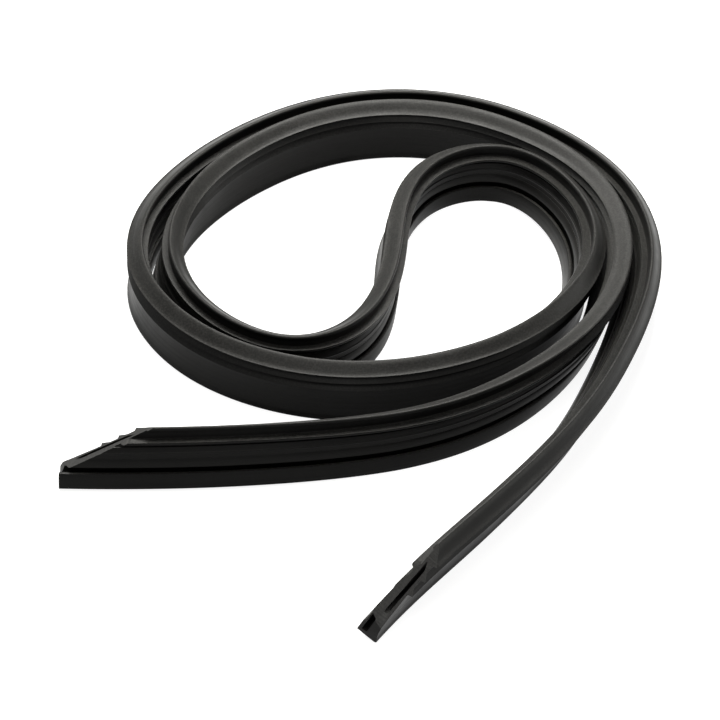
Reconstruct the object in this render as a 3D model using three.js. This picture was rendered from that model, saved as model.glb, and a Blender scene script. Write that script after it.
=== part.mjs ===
// Dishwasher door seal: one extruded rubber strip, coiled for sale and standing on its foot edge.
// Millimetres, +Z up. The origin is under the middle of the coil, on the surface that it stands on.

import * as THREE from 'three';
import { NURBSCurve } from 'three/addons/curves/NURBSCurve.js';
import { mergeVertices } from 'three/addons/utils/BufferGeometryUtils.js';

// Section of the strip. Sizes are measured up from the foot, and out from the middle of the web:
// the grooved side is the one with the lip, the smooth side is the one with the barbs.
const stripHeight = 23.6;
const footWidth = 8.5;
const footToSmoothSide = 4.4;
const footEdge = 0.6;

// Lip, a thin flap that stands up from the foot on the grooved side and leaves a slot behind it.
const lipHeight = 6.3;
const lipWall = 1.3;
const lipFlare = 0.3;
const slotWidth = 2;
const slotFloor = 1.6;
const slotDepthAboveLip = 0.95;

// Face of the grooved side, from the slot's mouth up to the upper groove. It slopes out towards the
// slot and carries one low rib.
const faceReach = 3.6;
const faceTopReach = 2.7;
const faceNose = 0.7;
const faceTop = 16.2;
const faceRibHeight = 13.7;
const faceRibReach = 0.35;
const faceRibWidth = 1;

// Upper groove, the sealing ridge over it, and the deep recess under the edge of the top.
const grooveDepth = 0.7;
const grooveHeight = 1.4;
const ridgeReach = 3.7;
const ridgeHeight = 1.4;
const ridgeUnderside = 0.5;
const recessDepth = 0.8;
const topEdgeThickness = 1.2;
const topEdgeRound = 0.5;

// Top, which slopes down to the smooth side, steepest in the middle and flatter near both edges.
const topWidth = 6.2;
const topDrop = 3.3;
const topEndRun = 2;
const topEndFall = 0.3;

// Barbs of the smooth side, which hold the strip in the channel of the machine.
const barbCount = 3;
const barbPitch = 3.2;
const barbReach = 1.8;
const barbSlope = 1.5;
const barbThickness = 0.2;

// Wall of the smooth side, which flares out to the foot.
const flareHeight = 6.5;
const flareStart = 0.5;

// Hollow that runs the whole length inside the upper web and is open at both cut ends.
const hollowWall = 1;
const hollowFloor = 9;
const hollowRoofGap = 1.7;
const hollowEnd = 0.8;

// Cut ends. Each is cut on a slant, from a little way up to the top. The foot is left square.
const endCutStart = 6;
const endCutAngle = 27.5;
const endCutSettle = 60;

// Route of the strip in plan, from the free end at the front to the free end at the left: x, y and lean.
// The lean is in degrees, and is positive where the top leans to the smooth side. The points guide a
// smooth curve. Neighbouring runs lie side by side and never cross.
const route = [
  // free leg at the front, leaning over
  [2.1, -132, 25], [8.9, -120.5, 25], [20.3, -103.5, 24], [38, -79.6, 25], [53, -57.3, 27],
  [65.2, -38, 28], [76.2, -17, 29], [84.5, 6, 31],
  // outermost run, up the right side, round the back and down the left side
  [93.5, 35.5, 32], [99.7, 68.6, 28], [95.9, 103.1, 15], [78.9, 133.2, 3], [52.7, 154.8, -2], [20.3, 164.3, -2],
  [-13, 160, -4], [-41.5, 143, -2], [-65, 118, 0], [-81.5, 87.5, 0], [-83, 53, 0], [-65.8, 20.2, 0],
  // across the front and round the inner loop
  [-37.5, -0.5, 0], [-4.6, -8.8, 0], [29.5, -4.2, -2], [59.2, 13, 0], [76.5, 42, 14], [81, 74.5, 26],
  [73.5, 107, 14], [53, 132.4, 0], [21, 122, -10],
  // reversing bend through the middle of the coil
  [8.6, 90, -14], [10, 55, -10], [1.2, 18.2, -3], [-27.4, 4.2, 2],
  // second run, inside the first on the left and at the back, then down the right side
  [-58.1, 24.6, 6], [-74.8, 55.2, 13], [-72.5, 86.5, 11], [-56.5, 115, 2], [-32, 139, -1], [-2.5, 154, 0],
  [31, 154.15, 0], [59.8, 139.5, -2], [81.6, 114.5, -10], [90.2, 83.3, -23], [87.8, 50.1, -28], [77.5, 19, -20],
  // free leg along the front, ending at the left
  [58, -8, -9], [31.5, -28.2, -3], [-0.5, -38.3, 2], [-34.5, -43.6, 6], [-66, -46.1, 7.5], [-93, -46.1, 7],
  [-107.1, -45.6, 7],
];

// Where the grooved side is free, its lip and ridge stand open. Where it lies against the next run
// they are squeezed: from and to, along the strip from the front end.
const lipOpen = 0.9;
const ridgeOpen = 0.8;
const squeezedStretches = [[-40, 590], [960, 1400]];
const squeezeRun = 60;

// Fineness of the bent strip.
const sliceCount = 146;
const longestSlice = 30;
const sharpestTurn = 8;
const routeSamples = 4000;
const curveDegree = 3;
const topFacets = 4;

const footReach = footWidth - footToSmoothSide;
const lipReach = footReach - lipFlare;
const slotInner = lipReach - lipWall;
const webInSlot = slotInner - slotWidth;
const faceBottom = lipHeight + slotDepthAboveLip + faceNose;
const ribFoot = faceRibHeight - faceRibWidth / 2;
const ribHead = faceRibHeight + faceRibWidth / 2;
const grooveFloor = faceTopReach - grooveDepth;
const ridgeFoot = faceTop + grooveHeight;
const ridgeTop = ridgeFoot + ridgeHeight;
const webFace = grooveFloor - recessDepth;
const topEdge = grooveFloor;
const smoothCorner = topEdge - topWidth;
const smoothWall = smoothCorner + barbReach;

function faceAt(height) {
  const share = (height - faceBottom) / (faceTop - faceBottom);
  return THREE.MathUtils.lerp(faceReach, faceTopReach, share);
}

// The outline goes up the grooved side, over the top and down the smooth side.
function groovedSide() {
  return [
    [footReach, 0],
    [lipReach, lipHeight],
    [slotInner, lipHeight],
    [footReach - lipWall, slotFloor],
    [webInSlot, slotFloor],
    [webInSlot, lipHeight + slotDepthAboveLip],
    [faceReach, faceBottom],
    [faceAt(ribFoot), ribFoot],
    [faceAt(faceRibHeight) + faceRibReach, faceRibHeight],
    [faceAt(ribHead), ribHead],
    [faceTopReach, faceTop],
    [grooveFloor, faceTop],
    [grooveFloor, ridgeFoot],
    [ridgeReach, ridgeFoot + ridgeUnderside],
    [ridgeReach, ridgeTop],
    [webFace, ridgeTop],
    [webFace, stripHeight - topEdgeThickness],
    [topEdge, stripHeight - topEdgeRound],
  ];
}

function topFace() {
  const from = new THREE.Vector2(topEdge - topEdgeRound, stripHeight);
  const to = new THREE.Vector2(smoothCorner, stripHeight - topDrop);
  const level = from.clone().add(new THREE.Vector2(-topEndRun, -topEndFall));
  const settled = to.clone().add(new THREE.Vector2(topEndRun, topEndFall));
  const slope = new THREE.CubicBezierCurve(from, level, settled, to);
  return slope.getPoints(topFacets).slice(0, topFacets).map((point) => [point.x, point.y]);
}

function barbs() {
  const points = [];
  for (let i = 0; i < barbCount; i += 1) {
    const tip = stripHeight - topDrop - i * barbPitch;
    if (i > 0) points.push([smoothWall, tip + barbSlope]);
    points.push([smoothWall - barbReach, tip]);
    points.push([smoothWall, tip - barbThickness]);
  }
  return points;
}

function smoothSide() {
  return [
    [smoothWall - flareStart, flareHeight],
    [(smoothWall - flareStart - footToSmoothSide) / 2, flareHeight / 3],
    [-footToSmoothSide, footEdge],
    [footEdge - footToSmoothSide, 0],
  ];
}

function hollowOutline() {
  const inner = webFace - hollowWall;
  const outer = smoothWall + hollowWall;
  const roof = stripHeight - topDrop / 2 - hollowRoofGap;
  const middle = (inner + outer) / 2;
  return [
    [outer, hollowFloor + hollowEnd],
    [outer, roof - topDrop / 2],
    [middle, roof - hollowEnd / 2],
    [inner, roof],
    [inner, hollowFloor + hollowEnd],
    [middle, hollowFloor],
  ];
}

function toPath(PathClass, points) {
  return new PathClass(points.map(([across, up]) => new THREE.Vector2(across, up)));
}

const outline = [...groovedSide(), ...topFace(), ...barbs(), ...smoothSide()];
const section = toPath(THREE.Shape, outline);
section.holes.push(toPath(THREE.Path, hollowOutline()));

// Guide curve through the plan, with the lean as its third coordinate.
function guideCurve() {
  const last = route.length - curveDegree;
  const knots = [];
  for (let i = 0; i < curveDegree; i += 1) knots.push(0);
  for (let i = 0; i <= last; i += 1) knots.push(i / last);
  for (let i = 0; i < curveDegree; i += 1) knots.push(1);
  const points = route.map(([x, y, lean]) => new THREE.Vector4(x, y, lean, 1));
  return new NURBSCurve(curveDegree, knots, points);
}

// Table of the route by length: place, heading and lean.
function traceRoute() {
  const points = guideCurve().getPoints(routeSamples);
  const stations = [];
  let length = 0;
  for (let i = 0; i <= routeSamples; i += 1) {
    const before = points[Math.max(i - 1, 0)];
    const after = points[Math.min(i + 1, routeSamples)];
    if (i > 0) length += Math.hypot(points[i].x - before.x, points[i].y - before.y);
    const heading = Math.atan2(after.y - before.y, after.x - before.x);
    stations.push({ x: points[i].x, y: points[i].y, lean: points[i].z, heading, length });
  }
  return stations;
}

const stations = traceRoute();
const stripLength = stations[routeSamples].length;

function turnBetween(a, b) {
  const turn = b.heading - a.heading;
  return Math.abs(Math.atan2(Math.sin(turn), Math.cos(turn)));
}

// Places along the strip where a slice stands, closer together where it bends.
function slicePlaces() {
  const effort = [0];
  for (let i = 1; i <= routeSamples; i += 1) {
    const run = stations[i].length - stations[i - 1].length;
    const turn = THREE.MathUtils.radToDeg(turnBetween(stations[i - 1], stations[i]));
    effort.push(effort[i - 1] + run / longestSlice + turn / sharpestTurn);
  }
  const places = [];
  let i = 0;
  for (let slice = 0; slice <= sliceCount; slice += 1) {
    const wanted = effort[routeSamples] * slice / sliceCount;
    while (i < routeSamples && effort[i] < wanted) i += 1;
    places.push(stations[i].length);
  }
  return places;
}

function stationAt(place) {
  let low = 0;
  let high = routeSamples;
  while (high - low > 1) {
    const middle = (low + high) >> 1;
    if (stations[middle].length > place) high = middle;
    else low = middle;
  }
  const a = stations[low];
  const b = stations[high];
  const share = THREE.MathUtils.clamp((place - a.length) / (b.length - a.length), 0, 1);
  const turn = Math.atan2(Math.sin(b.heading - a.heading), Math.cos(b.heading - a.heading));
  return {
    x: a.x + (b.x - a.x) * share,
    y: a.y + (b.y - a.y) * share,
    lean: THREE.MathUtils.degToRad(a.lean + (b.lean - a.lean) * share),
    heading: a.heading + turn * share,
  };
}

// How far a slanted end is cut back at a height. The foot keeps its square end.
function cutBack(up) {
  return Math.max(up - endCutStart, 0) / Math.tan(THREE.MathUtils.degToRad(endCutAngle));
}

function slantedPlace(place, up) {
  const nearStart = 1 - place / endCutSettle;
  const nearEnd = 1 - (stripLength - place) / endCutSettle;
  if (nearStart > 0) return place + cutBack(up) * nearStart;
  if (nearEnd > 0) return place - cutBack(up) * nearEnd;
  return place;
}

// Height that lifts a leaning section until its lowest corner stands on the surface.
function standingLift(lean) {
  const heights = outline.map(([across, up]) => up * Math.cos(lean) + across * Math.sin(lean));
  return -Math.min(...heights);
}

// How far the lip and the ridge stand open at a place: 1 where free and 0 where squeezed.
function openness(place) {
  let open = 1;
  for (const [start, end] of squeezedStretches) {
    const inside = Math.min(place - start, end - place);
    open = Math.min(open, 1 - THREE.MathUtils.smoothstep(inside, -squeezeRun / 2, squeezeRun / 2));
  }
  return open;
}

function openedReach(across, up, place) {
  if (up <= lipHeight && across > webInSlot + slotWidth / 4) return across + lipOpen * openness(place);
  if (up <= ridgeFoot || up > ridgeTop || across <= grooveFloor) return across;
  return across + ridgeOpen * openness(place);
}

function bendPoint(drawnAcross, up, place) {
  const across = openedReach(drawnAcross, up, place);
  const station = stationAt(slantedPlace(place, up));
  const side = across * Math.cos(station.lean) - up * Math.sin(station.lean);
  const height = up * Math.cos(station.lean) + across * Math.sin(station.lean);
  return new THREE.Vector3(
    station.x - side * Math.sin(station.heading),
    station.y + side * Math.cos(station.heading),
    height + standingLift(station.lean),
  );
}

// The section is drawn out straight, one unit for each slice, and each slice is then laid on the route.
function bentStrip() {
  const straight = new THREE.ExtrudeGeometry(section, {
    depth: sliceCount,
    steps: sliceCount,
    curveSegments: 1,
    bevelEnabled: false,
  });
  straight.deleteAttribute('normal');
  straight.deleteAttribute('uv');
  const geometry = mergeVertices(straight);
  const places = slicePlaces();
  const position = geometry.getAttribute('position');
  for (let i = 0; i < position.count; i += 1) {
    const place = places[Math.round(position.getZ(i))];
    const bent = bendPoint(position.getX(i), position.getY(i), place);
    position.setXYZ(i, bent.x, bent.y, bent.z);
  }
  geometry.computeBoundingBox();
  const box = geometry.boundingBox;
  const centre = box.getCenter(new THREE.Vector3());
  geometry.translate(-centre.x, -centre.y, -box.min.z);
  geometry.computeVertexNormals();
  return geometry;
}

const rubber = new THREE.MeshStandardMaterial({ color: 0x232322, roughness: 0.5, metalness: 0 });

const doorSeal = new THREE.Mesh(bentStrip(), rubber);
doorSeal.name = 'door_seal';

const group = new THREE.Group();
group.add(doorSeal);

export default group;
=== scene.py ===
# Dishwasher door seal: one black rubber strip, coiled on its edge on a white table.
import math

import bmesh
import bpy
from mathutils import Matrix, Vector


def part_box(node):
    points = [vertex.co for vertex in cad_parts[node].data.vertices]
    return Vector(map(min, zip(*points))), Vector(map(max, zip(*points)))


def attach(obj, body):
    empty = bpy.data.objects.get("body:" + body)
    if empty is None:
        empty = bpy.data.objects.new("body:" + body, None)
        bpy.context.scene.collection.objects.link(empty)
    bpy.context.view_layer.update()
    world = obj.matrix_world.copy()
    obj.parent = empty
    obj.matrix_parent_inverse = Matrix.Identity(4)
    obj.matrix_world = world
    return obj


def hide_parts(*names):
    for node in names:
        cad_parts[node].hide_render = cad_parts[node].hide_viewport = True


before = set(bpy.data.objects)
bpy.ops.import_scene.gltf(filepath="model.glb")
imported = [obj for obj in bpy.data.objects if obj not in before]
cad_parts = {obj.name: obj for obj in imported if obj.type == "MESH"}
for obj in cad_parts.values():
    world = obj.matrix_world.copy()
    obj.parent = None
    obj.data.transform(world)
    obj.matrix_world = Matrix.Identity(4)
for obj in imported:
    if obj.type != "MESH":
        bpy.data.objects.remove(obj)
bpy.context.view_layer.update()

scene = bpy.context.scene
scene.view_settings.view_transform = "Standard"


# Camera. A long lens that looks down on the coil from the front, with the coil in the middle of
# the square frame.
coil_middle = Vector((-0.00177, -0.01603, 0.020))
camera_distance = 2.6
camera_elevation = math.radians(38)
camera_data = bpy.data.cameras.new("camera")
camera_data.sensor_width = 36.0
camera_data.lens = 361.1
camera_data.clip_end = 20.0
camera = bpy.data.objects.new("camera", camera_data)
back_and_up = Vector((0, -math.cos(camera_elevation), math.sin(camera_elevation)))
camera.location = coil_middle + camera_distance * back_and_up
camera.rotation_euler = (math.pi / 2 - camera_elevation, 0, 0)
scene.collection.objects.link(camera)
scene.camera = camera


# Table. A plain white surface that keeps the strip's soft shadow. Where the camera or a
# reflection looks at it, it is white.
table_mesh = bpy.data.meshes.new("table")
table_bm = bmesh.new()
bmesh.ops.create_grid(table_bm, x_segments=1, y_segments=1, size=4.0)
table_bm.to_mesh(table_mesh)
table_bm.free()
table = bpy.data.objects.new("table", table_mesh)
scene.collection.objects.link(table)

table_paint = bpy.data.materials.new("table_white")
table_paint.use_nodes = True
nodes = table_paint.node_tree.nodes
links = table_paint.node_tree.links
nodes.clear()
table_out = nodes.new("ShaderNodeOutputMaterial")
table_diffuse = nodes.new("ShaderNodeBsdfDiffuse")
table_diffuse.inputs["Color"].default_value = (0.3, 0.3, 0.3, 1)
table_lift = nodes.new("ShaderNodeEmission")
table_lift.inputs["Color"].default_value = (1, 1, 1, 1)
table_path = nodes.new("ShaderNodeLightPath")
seen_or_glossy = nodes.new("ShaderNodeMath")
seen_or_glossy.operation = "ADD"
seen_at_all = nodes.new("ShaderNodeMath")
seen_at_all.operation = "ADD"
lift_strength = nodes.new("ShaderNodeMath")
lift_strength.operation = "MULTIPLY"
lift_strength.inputs[1].default_value = 0.88
table_sum = nodes.new("ShaderNodeAddShader")
links.new(table_path.outputs["Is Camera Ray"], seen_or_glossy.inputs[0])
links.new(table_path.outputs["Is Glossy Ray"], seen_or_glossy.inputs[1])
links.new(seen_or_glossy.outputs[0], seen_at_all.inputs[0])
links.new(table_path.outputs["Is Transmission Ray"], seen_at_all.inputs[1])
links.new(seen_at_all.outputs[0], lift_strength.inputs[0])
links.new(lift_strength.outputs[0], table_lift.inputs["Strength"])
links.new(table_diffuse.outputs[0], table_sum.inputs[0])
links.new(table_lift.outputs[0], table_sum.inputs[1])
links.new(table_sum.outputs[0], table_out.inputs["Surface"])
table_mesh.materials.append(table_paint)


# Light. A dim, even white surround that is full white where the camera sees it, in reflections
# and through glass. One soft lamp close over the back draws the sheen along the tops there, one
# higher up at the front picks out the barbs and edges, and one low at the right lights the front
# leg.
surround = bpy.data.worlds.new("surround")
scene.world = surround
surround.use_nodes = True
nodes = surround.node_tree.nodes
links = surround.node_tree.links
nodes.clear()
surround_out = nodes.new("ShaderNodeOutputWorld")
surround_light = nodes.new("ShaderNodeBackground")
surround_light.inputs["Color"].default_value = (1, 1, 1, 1)
surround_light.inputs["Strength"].default_value = 0.25
surround_seen = nodes.new("ShaderNodeBackground")
surround_seen.inputs["Color"].default_value = (1, 1, 1, 1)
surround_seen.inputs["Strength"].default_value = 1.0
surround_path = nodes.new("ShaderNodeLightPath")
surround_is_seen = nodes.new("ShaderNodeMath")
surround_is_seen.operation = "ADD"
surround_is_seen.use_clamp = True
surround_mix = nodes.new("ShaderNodeMixShader")
surround_in_gloss = nodes.new("ShaderNodeMath")
surround_in_gloss.operation = "ADD"
links.new(surround_path.outputs["Is Camera Ray"], surround_is_seen.inputs[0])
links.new(surround_path.outputs["Is Glossy Ray"], surround_in_gloss.inputs[0])
links.new(surround_path.outputs["Is Transmission Ray"], surround_in_gloss.inputs[1])
links.new(surround_in_gloss.outputs[0], surround_is_seen.inputs[1])
links.new(surround_is_seen.outputs[0], surround_mix.inputs["Fac"])
links.new(surround_light.outputs[0], surround_mix.inputs[1])
links.new(surround_seen.outputs[0], surround_mix.inputs[2])
links.new(surround_mix.outputs[0], surround_out.inputs["Surface"])

# Each lamp has a place, what it looks at, a size in metres and a power in watts. All are a
# little warm.
warm_white = (1, 0.99, 0.95)
for name, place, looks_at, size, power in (
    ("lamp_over_back", (0.0, 0.24, 0.45), (0.0, 0.11, 0), 0.34, 10),
    ("lamp_over_front", (-0.2, -0.7, 1.3), (0, 0, 0), 0.6, 7),
    ("lamp_right", (1.25, 0.25, 0.4), (0.03, 0, 0), 0.6, 7),
):
    lamp_data = bpy.data.lights.new(name, "AREA")
    lamp_data.shape = "SQUARE"
    lamp_data.size = size
    lamp_data.energy = power
    lamp_data.color = warm_white
    lamp = bpy.data.objects.new(name, lamp_data)
    lamp.location = place
    lamp.rotation_euler = (Vector(looks_at) - Vector(place)).to_track_quat("-Z", "Y").to_euler()
    scene.collection.objects.link(lamp)


# Door seal. One strip of synthetic rubber, extruded in one section and cut to length on a slant.
# A barbed side holds it in the channel of the machine, and the ridge and lip of its other side
# close against the door. It stands on its foot edge in a loose double coil.
mm = 0.001

# Sizes of the section in millimetres, up from the foot and out from the middle of the web. The
# grooved side is positive.
strip_height = 23.6
foot_width = 8.5
foot_to_smooth_side = 4.4
foot_edge = 0.6
lip_height = 6.3
lip_wall = 1.3
lip_flare = 0.3
slot_width = 2.0
slot_floor = 1.6
slot_depth_above_lip = 0.95
face_reach = 3.6
face_top_reach = 2.7
face_nose = 0.7
face_top = 16.2
face_line_height = 11.6
face_line_width = 0.4
face_line_depth = 0.12
face_rib_height = 13.7
face_rib_reach = 0.35
face_rib_width = 1.0
groove_depth = 0.7
groove_height = 1.4
ridge_reach = 3.7
ridge_height = 1.4
ridge_underside = 0.5
recess_depth = 0.8
top_edge_thickness = 1.2
top_edge_round = 0.5
top_width = 6.2
top_drop = 3.3
top_end_run = 2.0
top_end_fall = 0.3
barb_count = 3
barb_pitch = 3.2
barb_reach = 1.8
barb_slope = 1.5
barb_thickness = 0.2
flare_height = 6.5
flare_start = 0.5
hollow_wall = 1.0
hollow_floor = 9.0
hollow_roof_gap = 1.7
hollow_end = 0.8

# The cut ends slope from a little way up to the top, and the foot keeps its square end. The slices
# of the strip settle back to square within the run given here.
end_cut_start = 6.0
end_cut_angle = math.radians(27.5)
end_cut_settle = 60.0

# Where the grooved side is free, its lip and ridge stand open. Where it lies against the next run
# they are squeezed: from and to, along the strip from the front end.
lip_open = 0.9
ridge_open = 0.8
squeezed_stretches = ((-40, 590), (960, 1400))
squeeze_run = 60

foot_reach = foot_width - foot_to_smooth_side
lip_reach = foot_reach - lip_flare
slot_inner = lip_reach - lip_wall
web_in_slot = slot_inner - slot_width
face_bottom = lip_height + slot_depth_above_lip + face_nose
line_foot = face_line_height - face_line_width / 2
line_head = face_line_height + face_line_width / 2
rib_foot = face_rib_height - face_rib_width / 2
rib_head = face_rib_height + face_rib_width / 2
groove_back = face_top_reach - groove_depth
ridge_foot = face_top + groove_height
ridge_top = ridge_foot + ridge_height
web_face = groove_back - recess_depth
top_edge = groove_back
recess_roof = strip_height - top_edge_thickness
smooth_corner = top_edge - top_width
smooth_wall = smooth_corner + barb_reach
smooth_foot = foot_edge - foot_to_smooth_side


def face_at(height):
    """How far the sloping face of the grooved side reaches at a height."""
    share = (height - face_bottom) / (face_top - face_bottom)
    return face_reach + (face_top_reach - face_reach) * share


# Corners of the outline, up the grooved side, over the top and down the smooth side, each with
# the radius that rounds it.
corners = [
    (foot_reach, 0, 0.35),
    (lip_reach, lip_height, 0.5),
    (slot_inner, lip_height, 0.35),
    (foot_reach - lip_wall, slot_floor, 0.5),
    (web_in_slot, slot_floor, 0.5),
    (web_in_slot, lip_height + slot_depth_above_lip, 0.3),
    (face_reach, face_bottom, 0.6),
    (face_at(line_foot), line_foot, 0),
    (face_at(face_line_height) - face_line_depth, face_line_height, 0),
    (face_at(line_head), line_head, 0),
    (face_at(rib_foot), rib_foot, 0.1),
    (face_at(face_rib_height) + face_rib_reach, face_rib_height, 0.3),
    (face_at(rib_head), rib_head, 0.1),
    (face_top_reach, face_top, 0.3),
    (groove_back, face_top, 0.2),
    (groove_back, ridge_foot, 0.2),
    (ridge_reach, ridge_foot + ridge_underside, 0.3),
    (ridge_reach, ridge_top, 0.4),
    (web_face, ridge_top, 0.3),
    (web_face, recess_roof, 0.2),
    (top_edge, recess_roof, 0.3),
    (top_edge, strip_height - top_edge_round, 0.3),
]

# The top slopes down to the smooth side, steepest in the middle and flatter near both edges.
top_facets = 12
top_from = Vector((top_edge - top_edge_round, strip_height))
top_to = Vector((smooth_corner, strip_height - top_drop))
top_level = top_from + Vector((-top_end_run, -top_end_fall))
top_settled = top_to + Vector((top_end_run, top_end_fall))
for i in range(top_facets):
    t = i / top_facets
    point = (
        (1 - t) ** 3 * top_from + 3 * t * (1 - t) ** 2 * top_level
        + 3 * t ** 2 * (1 - t) * top_settled + t ** 3 * top_to
    )
    corners.append((point.x, point.y, 0.4 if i == 0 else 0))
for i in range(barb_count):
    tip = strip_height - top_drop - i * barb_pitch
    if i > 0:
        corners.append((smooth_wall, tip + barb_slope, 0.4))
    corners.append((smooth_corner, tip, 0.15))
    corners.append((smooth_wall, tip - barb_thickness, 0.3))
corners.append((smooth_wall - flare_start, flare_height, 2.0))
corners.append((
    (smooth_wall - flare_start - foot_to_smooth_side) / 2, flare_height / 3, 1.2,
))
corners.append((-foot_to_smooth_side, foot_edge, 0.3))
corners.append((smooth_foot, 0, 0.3))


def rounded(points, steps):
    """Outline with each corner replaced by a short curve, in metres."""
    most_of_side = 0.45
    out = []
    for i, (across, up, radius) in enumerate(points):
        here = Vector((across, up))
        if radius == 0:
            out.append(here * mm)
            continue
        before = Vector(points[i - 1][:2])
        after = Vector(points[(i + 1) % len(points)][:2])
        reach = min(
            radius, most_of_side * (before - here).length, most_of_side * (after - here).length,
        )
        start = here + reach * (before - here).normalized()
        end = here + reach * (after - here).normalized()
        for step in range(steps + 1):
            t = step / steps
            out.append(((1 - t) ** 2 * start + 2 * t * (1 - t) * here + t * t * end) * mm)
    return out


hollow_inner = web_face - hollow_wall
hollow_outer = smooth_wall + hollow_wall
hollow_roof = strip_height - top_drop / 2 - hollow_roof_gap
hollow_corners = [
    (hollow_outer, hollow_floor, hollow_end),
    (hollow_outer, hollow_roof - top_drop / 2, 0.5),
    (hollow_inner, hollow_roof, 0.5),
    (hollow_inner, hollow_floor, hollow_end),
]

# Route of the strip in plan, in metres, from the free end at the front to the free end at the
# left: x, y and the lean in degrees, positive where the top leans to the smooth side.
route = [
    # free leg at the front, leaning over
    (0.0021, -0.132, 25), (0.0089, -0.1205, 25), (0.0203, -0.1035, 24), (0.038, -0.0796, 25),
    (0.053, -0.0573, 27), (0.0652, -0.038, 28), (0.0762, -0.017, 29), (0.0845, 0.006, 31),
    # outermost run, up the right side, round the back and down the left side
    (0.0935, 0.0355, 32), (0.0997, 0.0686, 28), (0.0959, 0.1031, 15), (0.0789, 0.1332, 3),
    (0.0527, 0.1548, -2), (0.0203, 0.1643, -2), (-0.013, 0.16, -4), (-0.0415, 0.143, -2),
    (-0.065, 0.118, 0), (-0.0815, 0.0875, 0), (-0.083, 0.053, 0), (-0.0658, 0.0202, 0),
    # across the front and round the inner loop
    (-0.0375, -0.0005, 0), (-0.0046, -0.0088, 0), (0.0295, -0.0042, -2), (0.0592, 0.013, 0),
    (0.0765, 0.042, 14), (0.081, 0.0745, 26), (0.0735, 0.107, 14), (0.053, 0.1324, 0),
    (0.021, 0.122, -10),
    # reversing bend through the middle of the coil
    (0.0086, 0.09, -14), (0.01, 0.055, -10), (0.0012, 0.0182, -3), (-0.0274, 0.0042, 2),
    # second run, inside the first on the left and at the back, then down the right side
    (-0.0581, 0.0246, 6), (-0.0748, 0.0552, 13), (-0.0725, 0.0865, 11), (-0.0565, 0.115, 2),
    (-0.032, 0.139, -1), (-0.0025, 0.154, 0), (0.031, 0.15415, 0), (0.0598, 0.1395, -2),
    (0.0816, 0.1145, -10), (0.0902, 0.0833, -23), (0.0878, 0.0501, -28), (0.0775, 0.019, -20),
    # free leg along the front, ending at the left
    (0.058, -0.008, -9), (0.0315, -0.0282, -3), (-0.0005, -0.0383, 2), (-0.0345, -0.0436, 6),
    (-0.066, -0.0461, 7.5), (-0.093, -0.0461, 7), (-0.1071, -0.0456, 7),
]


def guide_point(t):
    """Point of the cubic curve that the route guides, for t from 0 at its start to 1 at its end.

    The curve starts and ends on the first and last guides and runs close by the others.
    """
    degree = 3
    spans = len(route) - degree
    span = min(int(t * spans), spans - 1)
    knots = [min(max(k - degree, 0), spans) for k in range(len(route) + degree + 1)]
    work = [Vector(route[span + j]) for j in range(degree + 1)]
    for r in range(1, degree + 1):
        for j in range(degree, r - 1, -1):
            low = knots[span + j]
            high = knots[span + j + 1 + degree - r]
            share = (t * spans - low) / (high - low)
            work[j] = (1 - share) * work[j - 1] + share * work[j]
    return work[degree]


# The curve is sampled finely, and each sample keeps its length along and its heading.
samples = 4000
points = [guide_point(i / samples) for i in range(samples + 1)]
lengths = [0.0]
for i in range(samples):
    lengths.append(lengths[-1] + (points[i + 1].xy - points[i].xy).length)
strip_length = lengths[-1]
headings = []
for i in range(samples + 1):
    run = points[min(i + 1, samples)].xy - points[max(i - 1, 0)].xy
    headings.append(math.atan2(run.y, run.x))


def station(place):
    """Place, lean and heading of the route at a length along it."""
    low, high = 0, samples
    while high - low > 1:
        middle = (low + high) // 2
        if lengths[middle] > place:
            high = middle
        else:
            low = middle
    share = (place - lengths[low]) / (lengths[high] - lengths[low])
    share = min(max(share, 0.0), 1.0)
    turn = headings[high] - headings[low]
    turn = math.atan2(math.sin(turn), math.cos(turn))
    at = points[low].lerp(points[high], share)
    return at, math.radians(at.z), headings[low] + turn * share


outline = rounded(corners, steps=2)
hollow = rounded(hollow_corners, steps=3)

# The section is drawn flat, filled, and drawn out straight, with its length along Z. It is then
# cut across twice over, into 27 times 28 slices.
sliver = 0.0001
slice_cuts = (26, 27)
seal_bm = bmesh.new()
around = seal_bm.verts.layers.float.new("around")
section_edges = []
for ring in (outline, hollow):
    verts = [seal_bm.verts.new((point.x, point.y, 0)) for point in ring]
    reach = 0.0
    for i, vert in enumerate(verts):
        vert[around] = reach
        reach += (ring[(i + 1) % len(ring)] - ring[i]).length
        section_edges.append(seal_bm.edges.new((vert, verts[(i + 1) % len(verts)])))
bmesh.ops.triangle_fill(seal_bm, use_beauty=True, edges=section_edges)
drawn = bmesh.ops.extrude_face_region(seal_bm, geom=seal_bm.faces[:])
drawn_verts = [item for item in drawn["geom"] if isinstance(item, bmesh.types.BMVert)]
bmesh.ops.translate(seal_bm, verts=drawn_verts, vec=(0, 0, strip_length))
for cuts in slice_cuts:
    along_edges = [
        edge for edge in seal_bm.edges
        if abs(edge.verts[0].co.z - edge.verts[1].co.z) > sliver
    ]
    bmesh.ops.subdivide_edges(seal_bm, edges=along_edges, cuts=cuts)
bmesh.ops.recalc_face_normals(seal_bm, faces=seal_bm.faces[:])

# The pattern of the surface runs along and around the straight strip, so its place there is kept
# as the UV map: metres along in U, metres around in V.
uv = seal_bm.loops.layers.uv.new("strip")
for face in seal_bm.faces:
    heights = [vert.co.z for vert in face.verts]
    is_cut = max(heights) < sliver or min(heights) > strip_length - sliver
    face.material_index = 1 if is_cut else 0
    for loop in face.loops:
        co = loop.vert.co
        loop[uv].uv = (co.x, co.y) if is_cut else (co.z, loop.vert[around])


def cut_back(up):
    """How far the slanted end is cut back at a height. The foot keeps its square end."""
    return max(up - end_cut_start * mm, 0.0) / math.tan(end_cut_angle)


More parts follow.
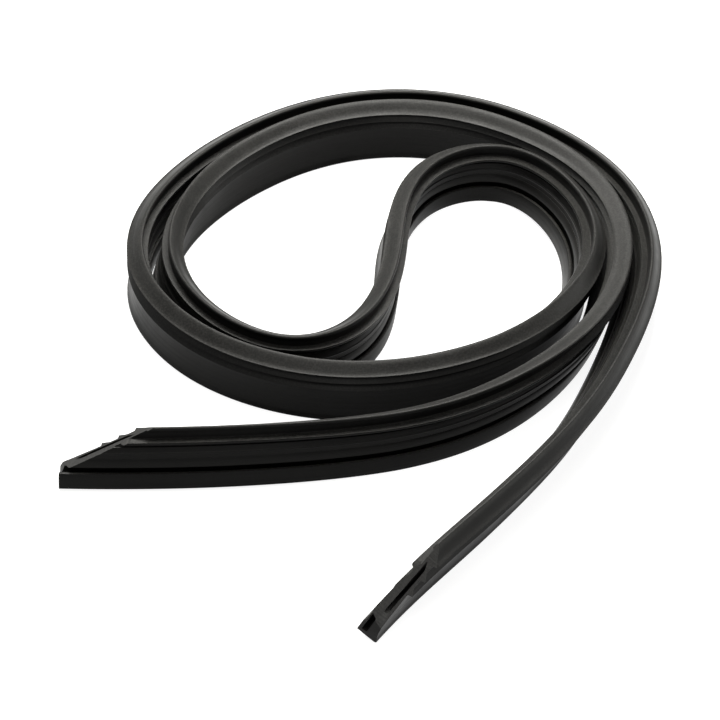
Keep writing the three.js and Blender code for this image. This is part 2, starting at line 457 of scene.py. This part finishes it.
def openness(place):
    """How far the lip and the ridge stand open: 1 where free and 0 where squeezed."""
    share = 1.0
    for start, end in squeezed_stretches:
        inside = min(place - start * mm, end * mm - place)
        t = min(max(inside / (squeeze_run * mm) + 0.5, 0.0), 1.0)
        share = min(share, 1 - t * t * (3 - 2 * t))
    return share


# The points of the lip and of the ridge are told by their place in the section. A hair, in
# millimetres, takes in those that lie right on a limit.
hair = 0.01
outside_web = web_in_slot + slot_width / 4


def opened_reach(across, up, place):
    """Reach of a point of the section where its lip and ridge stand open."""
    if up <= (lip_height + hair) * mm and across > outside_web * mm:
        return across + lip_open * mm * openness(place)
    if across > (groove_back + hair) * mm and ridge_foot * mm < up <= ridge_top * mm:
        return across + ridge_open * mm * openness(place)
    return across


# Bending. Each point is set back for the slanted ends, leans with the strip, stands on the table
# and takes its place along the route.
settle = end_cut_settle * mm
for vert in seal_bm.verts:
    across, up, place = vert.co
    across = opened_reach(across, up, place)
    near_start = 1 - place / settle
    near_end = 1 - (strip_length - place) / settle
    if near_start > 0:
        place += cut_back(up) * near_start
    elif near_end > 0:
        place -= cut_back(up) * near_end
    at, lean, heading = station(place)
    side = across * math.cos(lean) - up * math.sin(lean)
    height = up * math.cos(lean) + across * math.sin(lean)
    foot = (foot_reach if lean < 0 else smooth_foot) * mm * math.sin(lean)
    vert.co = (
        at.x - side * math.sin(heading),
        at.y + side * math.cos(heading),
        height - foot,
    )

# The coil is set over the solid that it replaces, with its foot at the same height.
low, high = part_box("door_seal")
own_low = Vector([min(vert.co[axis] for vert in seal_bm.verts) for axis in range(3)])
own_high = Vector([max(vert.co[axis] for vert in seal_bm.verts) for axis in range(3)])
shift = (Vector(low) + Vector(high)) / 2 - (own_low + own_high) / 2
shift.z = low[2] - own_low.z
bmesh.ops.translate(seal_bm, verts=seal_bm.verts[:], vec=shift)

sharp_from = math.radians(32)
for face in seal_bm.faces:
    face.smooth = True
for edge in seal_bm.edges:
    edge.smooth = edge.calc_face_angle(0.0) < sharp_from
seal_mesh = bpy.data.meshes.new("door_seal_rubber")
seal_bm.to_mesh(seal_mesh)
seal_bm.free()
seal = bpy.data.objects.new("door_seal_rubber", seal_mesh)
scene.collection.objects.link(seal)


# Rubber. The skin is a satin black that the die has drawn into fine lines along the strip.
# Handling and age leave a mottled bloom on it. What faces up is painted lighter: pale dust specks,
# and a painted sheen over all of it. The cut ends are duller and show the grain of the rubber.
def add_nodes(tree, *kinds):
    """New nodes of the given kinds in a tree."""
    return [tree.nodes.new(kind) for kind in kinds]


def set_stops(ramp, *stops):
    """Places and grey levels of a two-stop ramp."""
    for element, (place, level) in zip(ramp.color_ramp.elements, stops):
        element.position = place
        element.color = (level, level, level, 1)


# Fine lines along the strip, finer around than along, out of the strip's own UV map.
die_lines = bpy.data.node_groups.new("die_lines", "ShaderNodeTree")
die_lines.interface.new_socket(
    name="Lines per metre", in_out="INPUT", socket_type="NodeSocketFloat",
)
die_lines.interface.new_socket(name="Lines", in_out="OUTPUT", socket_type="NodeSocketFloat")
lines_in, lines_out, strip_map, stretch, per_metre, streaks, streak_ramp = add_nodes(
    die_lines, "NodeGroupInput", "NodeGroupOutput", "ShaderNodeUVMap", "ShaderNodeMapping",
    "ShaderNodeCombineXYZ", "ShaderNodeTexNoise", "ShaderNodeValToRGB",
)
strip_map.uv_map = "strip"
per_metre.inputs["X"].default_value = 9
streaks.inputs["Scale"].default_value = 1
streaks.inputs["Detail"].default_value = 3
set_stops(streak_ramp, (0.35, 0.0), (0.65, 1.0))
links = die_lines.links
links.new(lines_in.outputs["Lines per metre"], per_metre.inputs["Y"])
links.new(strip_map.outputs["UV"], stretch.inputs["Vector"])
links.new(per_metre.outputs["Vector"], stretch.inputs["Scale"])
links.new(stretch.outputs["Vector"], streaks.inputs["Vector"])
links.new(streaks.outputs["Fac"], streak_ramp.inputs["Fac"])
links.new(streak_ramp.outputs["Color"], lines_out.inputs["Lines"])

# Mottled bloom, in soft blotches with a fine grain in them.
bloom = bpy.data.node_groups.new("bloom", "ShaderNodeTree")
bloom.interface.new_socket(
    name="Blotches per metre", in_out="INPUT", socket_type="NodeSocketFloat",
)
bloom.interface.new_socket(name="Bloom", in_out="OUTPUT", socket_type="NodeSocketFloat")
bloom_in, bloom_out, place, blotches, blotch_ramp = add_nodes(
    bloom, "NodeGroupInput", "NodeGroupOutput", "ShaderNodeTexCoord", "ShaderNodeTexNoise",
    "ShaderNodeValToRGB",
)
blotches.inputs["Detail"].default_value = 8
blotches.inputs["Roughness"].default_value = 0.62
set_stops(blotch_ramp, (0.38, 0.0), (0.66, 1.0))
links = bloom.links
links.new(place.outputs["Object"], blotches.inputs["Vector"])
links.new(bloom_in.outputs["Blotches per metre"], blotches.inputs["Scale"])
links.new(blotches.outputs["Fac"], blotch_ramp.inputs["Fac"])
links.new(blotch_ramp.outputs["Color"], bloom_out.inputs["Bloom"])

# Dust specks on the faces that look up, over a painted sheen that lightens all of those faces.
dust_and_sheen = bpy.data.node_groups.new("dust_and_sheen", "ShaderNodeTree")
dust_and_sheen.interface.new_socket(name="Amount", in_out="INPUT", socket_type="NodeSocketFloat")
dust_and_sheen.interface.new_socket(name="Dust and sheen", in_out="OUTPUT", socket_type="NodeSocketFloat")
dust_and_sheen_in, dust_and_sheen_out, place, specks, speck_and_sheen_ramp, faces, axes, up_ramp, on_top, amount = add_nodes(
    dust_and_sheen, "NodeGroupInput", "NodeGroupOutput", "ShaderNodeTexCoord", "ShaderNodeTexNoise",
    "ShaderNodeValToRGB", "ShaderNodeNewGeometry", "ShaderNodeSeparateXYZ",
    "ShaderNodeValToRGB", "ShaderNodeMath", "ShaderNodeMath",
)
specks.inputs["Scale"].default_value = 1400
specks.inputs["Detail"].default_value = 4
# The lowest stop keeps 0.22 between the specks: that is the painted sheen on the tops.
set_stops(speck_and_sheen_ramp, (0.4, 0.22), (0.75, 1.0))
set_stops(up_ramp, (0.45, 0.0), (0.95, 1.0))
on_top.operation = "MULTIPLY"
amount.operation = "MULTIPLY"
links = dust_and_sheen.links
links.new(place.outputs["Object"], specks.inputs["Vector"])
links.new(specks.outputs["Fac"], speck_and_sheen_ramp.inputs["Fac"])
links.new(faces.outputs["Normal"], axes.inputs["Vector"])
links.new(axes.outputs["Z"], up_ramp.inputs["Fac"])
links.new(speck_and_sheen_ramp.outputs["Color"], on_top.inputs[0])
links.new(up_ramp.outputs["Color"], on_top.inputs[1])
links.new(on_top.outputs[0], amount.inputs[0])
links.new(dust_and_sheen_in.outputs["Amount"], amount.inputs[1])
links.new(amount.outputs[0], dust_and_sheen_out.inputs["Dust and sheen"])

# Both rubbers share the tone of the dust and painted sheen on the tops, and how much the lines
# count beside the bloom.
dust_and_sheen_tone = (0.045, 0.044, 0.041, 1)
line_wear = 0.45


def rubber_material(name, dark, pale, smooth, dull, gloss, lines, relief, blotches, dust_and_sheen_amount):
    """Rubber of two greys and two roughnesses, with lines, bloom, dust and painted sheen on it."""
    material = bpy.data.materials.new(name)
    material.use_nodes = True
    tree = material.node_tree
    shader = tree.nodes["Principled BSDF"]
    line_mark, bloom_mark, dust_and_sheen_mark, wear, tone, dust_and_sheen_mix, rough, bump = add_nodes(
        tree, "ShaderNodeGroup", "ShaderNodeGroup", "ShaderNodeGroup", "ShaderNodeMath",
        "ShaderNodeMix", "ShaderNodeMix", "ShaderNodeMapRange", "ShaderNodeBump",
    )
    line_mark.node_tree = die_lines
    line_mark.inputs["Lines per metre"].default_value = lines
    bloom_mark.node_tree = bloom
    bloom_mark.inputs["Blotches per metre"].default_value = blotches
    dust_and_sheen_mark.node_tree = dust_and_sheen
    dust_and_sheen_mark.inputs["Amount"].default_value = dust_and_sheen_amount
    wear.operation = "MULTIPLY_ADD"
    wear.inputs[1].default_value = line_wear
    tone.data_type = "RGBA"
    tone.inputs["A"].default_value = dark
    tone.inputs["B"].default_value = pale
    # Mixing towards the dust tone where the faces look up paints dust specks and a sheen on the
    # tops.
    dust_and_sheen_mix.data_type = "RGBA"
    dust_and_sheen_mix.inputs["B"].default_value = dust_and_sheen_tone
    rough.inputs["To Min"].default_value = smooth
    rough.inputs["To Max"].default_value = dull
    bump.inputs["Strength"].default_value = 0.5
    bump.inputs["Distance"].default_value = relief
    shader.inputs["Specular IOR Level"].default_value = gloss
    shader.inputs["Sheen Weight"].default_value = 0.035
    shader.inputs["Sheen Roughness"].default_value = 0.3
    links = tree.links
    links.new(line_mark.outputs["Lines"], wear.inputs[0])
    links.new(bloom_mark.outputs["Bloom"], wear.inputs[2])
    links.new(wear.outputs[0], tone.inputs["Factor"])
    links.new(tone.outputs["Result"], dust_and_sheen_mix.inputs["A"])
    links.new(dust_and_sheen_mark.outputs["Dust and sheen"], dust_and_sheen_mix.inputs["Factor"])
    links.new(dust_and_sheen_mix.outputs["Result"], shader.inputs["Base Color"])
    links.new(wear.outputs[0], rough.inputs["Value"])
    links.new(rough.outputs["Result"], shader.inputs["Roughness"])
    links.new(line_mark.outputs["Lines"], bump.inputs["Height"])
    links.new(bump.outputs["Normal"], shader.inputs["Normal"])
    return material


# The skin and the cut ends take the same dust and painted sheen on what faces up.
rubber = rubber_material(
    "rubber_skin", dark=(0.0025, 0.0025, 0.0023, 1), pale=(0.0045, 0.0044, 0.0041, 1),
    smooth=0.34, dull=0.46, gloss=0.08, lines=900, relief=0.00004, blotches=60, dust_and_sheen_amount=0.4,
)
cut_rubber = rubber_material(
    "rubber_cut", dark=(0.0022, 0.0022, 0.0021, 1), pale=(0.008, 0.0078, 0.0074, 1),
    smooth=0.55, dull=0.75, gloss=0.2, lines=2400, relief=0.0001, blotches=60, dust_and_sheen_amount=0.4,
)

seal_mesh.materials.append(rubber)
seal_mesh.materials.append(cut_rubber)
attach(seal, "root")
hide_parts("door_seal")
